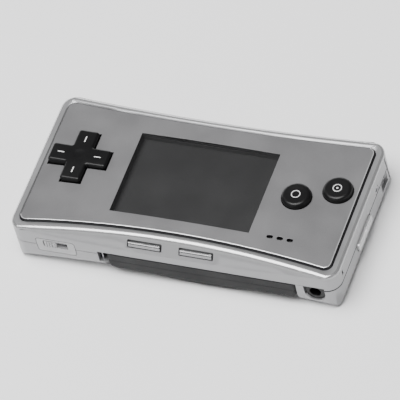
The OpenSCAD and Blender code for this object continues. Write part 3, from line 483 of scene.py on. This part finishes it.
def faceplate():
    """The faceplate: satin face, a sloping edge painted dark as shade, and a painted highlight along
    its edge on the camera's side.
    """
    finishes = ["plate", "plate_edge_highlight", "plate_side_shade", "gasket"]
    # The edge's near-white finish is a painted highlight, and the near-black one painted shade and
    # dark reflection.
    lit_side_highlight = finishes.index("plate_edge_highlight")
    dark = finishes.index("plate_side_shade")
    lining = finishes.index("gasket")
    slope_width = 0.62 * MM
    line_width = 0.13 * MM
    hole_edge = 0.08 * MM
    end_band = 3 * MM
    # The window's walls lie within this distance of its pane
    wall_reach = 1 * MM
    mesh = cad_mesh("faceplate")

    def top_outline(middle, normals):
        upward = any(n.z > 0.9 for n in normals)
        outward = any(abs(n.z) < 0.5 and faces_out(middle, n) for n in normals)
        at_end = abs(middle.x) > PLATE_END - end_band
        return upward and outward and (at_end or abs(middle.y) > LONG_EDGE_Y)

    def hole_rim(middle, normals):
        upward = any(n.z > 0.9 for n in normals)
        return upward and any(abs(n.z) < 0.3 for n in normals)

    def crest(middle, normals):
        upward = max(n.z for n in normals) > 0.985
        return upward and 0.4 < min(n.z for n in normals) < 0.9

    # The sloping edge is painted near black: painted shade and a painted dark reflection on the
    # plate's edge.
    for face in round_off(mesh, corner_edges(mesh, top_outline), slope_width, segments=1):
        face.material_index = dark
    # The crest's fillet: a painted highlight where it faces the camera, at the front and the right,
    # and painted shade elsewhere.
    for face in round_off(mesh, corner_edges(mesh, crest), line_width, segments=2):
        near = face.normal.y < -0.1 or face.normal.x > 0.1
        face.material_index = lit_side_highlight if near else dark
    round_off(mesh, corner_edges(mesh, hole_rim), hole_edge, segments=2)
    window_low, window_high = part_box("display_window")
    window_middle = (window_low + window_high) / 2
    window_half = (window_high - window_low) / 2
    # Upright walls are painted dark: painted shade, and at the window the gasket's dark grey, partly
    # the display's real dark border and partly painted shade.
    for face in mesh.faces:
        if abs(face.normal.z) > 0.3:
            continue
        away = face.calc_center_median() - window_middle
        beside_x = abs(away.x) < window_half.x + wall_reach
        beside_y = abs(away.y) < window_half.y + wall_reach
        face.material_index = lining if beside_x and beside_y else dark
    stand_in("faceplate", mesh, finishes)


def soft_box(low, high, radius):
    """A closed box with round edges."""
    mesh = bmesh.new()
    size = high - low
    bmesh.ops.create_cube(mesh, size=1, matrix=Matrix.Translation((low + high) / 2)
                          @ Matrix.Diagonal((*size, 1)))
    round_off(mesh, list(mesh.edges), radius, segments=2, limit=True)
    return mesh


def skin(rings):
    """A closed mesh from rings of equally many points; each end ring of one point is a pole."""
    mesh = bmesh.new()
    rows = [[mesh.verts.new(point) for point in ring] for ring in rings]
    for here, there in zip(rows, rows[1:]):
        count = max(len(here), len(there))
        for k in range(count):
            n = (k + 1) % count
            if len(here) == 1:
                mesh.faces.new((here[0], there[n], there[k]))
            elif len(there) == 1:
                mesh.faces.new((here[k], here[n], there[0]))
            else:
                mesh.faces.new((here[k], here[n], there[n], there[k]))
    bmesh.ops.recalc_face_normals(mesh, faces=mesh.faces)
    return mesh


def arc(centre, radius, start, end, count):
    """Points of an arc in a plane, from angle start to end in degrees."""
    turns = [math.radians(start + (end - start) * k / (count - 1)) for k in range(count)]
    return [(centre[0] + radius * math.cos(t), centre[1] + radius * math.sin(t)) for t in turns]


def plus_outline(half_length, half_width, inset):
    """The pad's outline, moved in by inset: round outer corners and round inner ones."""
    outer_r, inner_r = 0.85 * MM, 0.4 * MM
    tip = half_length - outer_r
    side = half_width - outer_r
    nook = half_width + inner_r
    points = []
    for quarter in range(4):
        arm = arc((tip, -side), outer_r - inset, -90, 0, 5)
        arm += arc((tip, side), outer_r - inset, 0, 90, 5)
        arm += arc((nook, nook), inner_r + inset, 270, 180, 5)
        turn = Matrix.Rotation(quarter * math.pi / 2, 2)
        points += [tuple(turn @ Vector(point)) for point in arm]
    return points


def raised(points, centre, height):
    """Flat points set around an upright line through centre, at one height."""
    return [(centre.x + x, centre.y + y, height) for x, y in points]


def pad_surface(centre, low_z, high_z, half_length, half_width, flange):
    """The pad's closed surface, ring by ring from its socket round the foot to its dish."""
    edge = 0.75 * MM
    foot = low_z + 0.5 * MM
    pivot_r = 1.6 * MM
    ball_r = pivot_r + 0.05 * MM
    ball_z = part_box("d_pad_pivot")[1].z - pivot_r
    socket_mouth_r = 1.5 * MM
    dish = [(2.2 * MM, 0), (1.9 * MM, 0.02 * MM), (1.4 * MM, 0.08 * MM), (0.7 * MM, 0.13 * MM)]
    dish_bottom = 0.15 * MM
    turns = [math.atan2(y, x) for x, y in plus_outline(half_length, half_width, 0)]

    def circle(radius, height):
        flat = [(radius * math.cos(t), radius * math.sin(t)) for t in turns]
        return raised(flat, centre, height)

    def plus(inset, height):
        return raised(plus_outline(half_length, half_width, inset), centre, height)

    rings = [[(centre.x, centre.y, ball_z + ball_r)]]
    for angle in (65, 40, 15, -10):
        turn = math.radians(angle)
        rings.append(circle(ball_r * math.cos(turn), ball_z + ball_r * math.sin(turn)))
    rings += [circle(socket_mouth_r, low_z), plus(-flange, low_z), plus(-flange, foot), plus(0, foot)]
    for angle in (0, 22.5, 45, 67.5, 90):
        turn = math.radians(angle)
        rings.append(plus(edge * (1 - math.cos(turn)), high_z - edge * (1 - math.sin(turn))))
    for radius, depth in dish:
        rings.append(circle(radius, high_z - depth))
    rings.append([(centre.x, centre.y, high_z - dish_bottom)])
    return skin(rings)


def direction_pad():
    """The pad with round edges and a shallow dish, and a white bar on each arm."""
    flange = 0.8 * MM
    arm_length = 6.025 * MM
    # The bar's ends, measured in from the tip of its arm
    bar_start, bar_end = 4.5 * MM, 2.4 * MM
    bar_half_width = 0.18 * MM
    bar_sunk, bar_proud, bar_radius = 0.2 * MM, 0.02 * MM, 0.05 * MM
    low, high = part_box("d_pad")
    centre = (low + high) / 2
    half_length = (high.x - low.x) / 2 - flange
    half_width = half_length - arm_length
    stand_in("d_pad", pad_surface(centre, low.z, high.z, half_length, half_width, flange))
    for quarter, name in enumerate(["right", "rear", "left", "front"]):
        bar = soft_box(
            Vector((half_length - bar_start, -bar_half_width, high.z - bar_sunk)),
            Vector((half_length - bar_end, bar_half_width, high.z + bar_proud)), bar_radius)
        bar.transform(Matrix.Translation((centre.x, centre.y, 0))
                      @ Matrix.Rotation(quarter * math.pi / 2, 4, "Z"))
        new_piece("pad_bar_" + name, bar, ["mark"], "pad")


def lathe(profile, centre, steps=64):
    """A solid of revolution about an upright line; profile is a list of (radius, height)."""
    rings = []
    for radius, height in profile:
        if radius < 1e-7:
            rings.append([(centre.x, centre.y, height)])
            continue
        rings.append([(centre.x + radius * math.cos(2 * math.pi * k / steps),
                       centre.y + radius * math.sin(2 * math.pi * k / steps), height)
                      for k in range(steps)])
    return skin(rings)


def ring(centre, radius, width, top, height):
    """A flat ring with round edges, standing height high under top."""
    inner, outer = radius - width / 2, radius + width / 2
    curve = width * 0.15
    profile = [(inner, top - height), (inner, top - curve), (inner + curve, top),
               (outer - curve, top), (outer, top - curve), (outer, top - height),
               (inner, top - height)]
    mesh = lathe(profile, centre, 48)
    bmesh.ops.remove_doubles(mesh, verts=mesh.verts, dist=1e-8)
    bmesh.ops.recalc_face_normals(mesh, faces=mesh.faces)
    return mesh


def button_mark(name, mesh, body):
    """A pale mark on a button."""
    new_piece(name, mesh, ["mark"], body)


def round_buttons():
    """Caps with round edges and a shallow dish, marked with a ring, and a ring with a dot."""
    edge = 1.1 * MM
    flange = 0.9 * MM
    flange_t = 0.8 * MM
    dish = 0.1 * MM
    ring_r, line_width = 1.25 * MM, 0.36 * MM
    mark_t = 0.1 * MM
    dot_curve = 0.04 * MM
    for node, dotted in [("button_b", False), ("button_a", True)]:
        low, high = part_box(node)
        centre = (low + high) / 2
        flange_r = (high.x - low.x) / 2
        cap_r = flange_r - flange
        flat_r = cap_r - edge
        profile = [(0, low.z), (flange_r, low.z), (flange_r, low.z + flange_t),
                   (cap_r, low.z + flange_t)]
        for angle in range(0, 91, 15):
            turn = math.radians(angle)
            profile.append((flat_r + edge * math.cos(turn), high.z - edge + edge * math.sin(turn)))
        for share in (0.9, 0.75, 0.55, 0.3, 0):
            profile.append((flat_r * share, high.z - dish * (1 - share * share)))
        stand_in(node, lathe(profile, centre))
        body = NODES[node]["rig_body"]
        mark_z = high.z - dish * 0.8
        button_mark(node + "_ring", ring(centre, ring_r, line_width, mark_z, mark_t), body)
        if dotted:
            dot_r = line_width
            dot = [(0, mark_z - mark_t), (dot_r, mark_z - mark_t), (dot_r, mark_z - dot_curve),
                   (dot_r * 0.8, mark_z), (0, mark_z)]
            button_mark(node + "_dot", lathe(dot, centre, 32), body)


def joint_axis(name):
    """The direction in which a joint moves its piece."""
    joints = frame["record"]["behaviour"]["joints"]
    return Vector(next(joint["axis"] for joint in joints if joint["name"] == name)).normalized()


def bevel_bars():
    """The start and select bars: a ridge painted light as a highlight and a worn silver face, in a
    surround painted dark as shade.
    """
    finishes = ["clear_bar", "ridge", "bar_side_shade"]
    # The bar's face and sides lie within this depth of its top
    top_depth = 1 * MM
    flange_t = 0.6 * MM
    flange_side, flange_low, flange_high = 0.7 * MM, 0.6 * MM, 0.4 * MM
    core_drop = 0.9 * MM
    sunk = 0.05 * MM
    face_drop = 0.3 * MM
    margin = 0.38 * MM
    ridge = 0.55 * MM
    groove = 0.22 * MM
    dark_radius, face_radius, ridge_radius = 0.1 * MM, 0.12 * MM, 0.22 * MM
    for node, joint in (("start_button", "start_press"), ("select_button", "select_press")):
        # Along the bar, up the bevel, and square out of it
        along = Vector((1, 0, 0))
        out = -joint_axis(joint)
        up = out.cross(along)
        points = [vertex.co for vertex in NODES[node].data.vertices]
        top = max(point.dot(out) for point in points)
        base = min(point.dot(out) for point in points)
        near = [point for point in points if point.dot(out) > top - top_depth]
        left, right = (pick(point.x for point in near) for pick in (min, max))
        low, high = (pick(point.dot(up) for point in near) for pick in (min, max))
        right_end = right - margin
        ridge_top = high - margin
        ridge_low = ridge_top - ridge
        flange_top = base + flange_t
        face_base = top - core_drop - sunk
        # Each box: its lowest and highest corner, its edges' radius and its finish
        # The near-black boxes are painted shade in the gap round the bar and in the groove under the
        # ridge; the ridge's near-white finish is a painted highlight.
        boxes = [
            ((left - flange_side, low - flange_low, base),
             (right + flange_side, high + flange_high, flange_top), dark_radius, "bar_side_shade"),
            ((left, low, flange_top), (right, high, top - core_drop), dark_radius, "bar_side_shade"),
            ((left, low, face_base), (right_end, ridge_low - groove, top - face_drop),
             face_radius, "clear_bar"),
            ((left, ridge_low, face_base), (right_end, ridge_top, top), ridge_radius, "ridge"),
        ]
        mesh = bmesh.new()
        for low_corner, high_corner, radius, finish in boxes:
            part = soft_box(Vector(low_corner), Vector(high_corner), radius)
            for face in part.faces:
                face.material_index = finishes.index(finish)
            holder = bpy.data.meshes.new("part")
            part.to_mesh(holder)
            part.free()
            mesh.from_mesh(holder)
            bpy.data.meshes.remove(holder)
        mesh.transform(Matrix((along, up, out)).transposed().to_4x4())
        stand_in(node, mesh, finishes)


def softened_nodes():
    """Small visible parts whose sharp corners take a small radius, here in mm."""
    radii = {
        "power_switch_panel": 0.1, "power_knob": 0.05, "volume_rocker": 0.5,
        "headphone_jack": 0.15,
        "cartridge_upper_half": 0.3, "cartridge_lower_half": 0.3,
        "shoulder_button_left": 0.2, "shoulder_button_right": 0.2,
        "extension_connector": 0.1, "side_screws": 0.05, "case_screws": 0.05,
    }
    finishes = {"power_switch_panel": ["light", "seam"], "volume_rocker": ["rocker"]}
    for node, radius in radii.items():
        mesh = cad_mesh(node)
        rounded = round_off(mesh, corner_edges(mesh), radius * MM, segments=2, limit=True)
        # The panel's rounded edges are painted near black: painted shade in the gap round the panel.
        if node == "power_switch_panel":
            for face in rounded:
                face.material_index = finishes[node].index("seam")
        stand_in(node, mesh, finishes.get(node))


make_camera()
make_stage()
finish_cad_nodes()
shells()
faceplate()
direction_pad()
round_buttons()
bevel_bars()
softened_nodes()
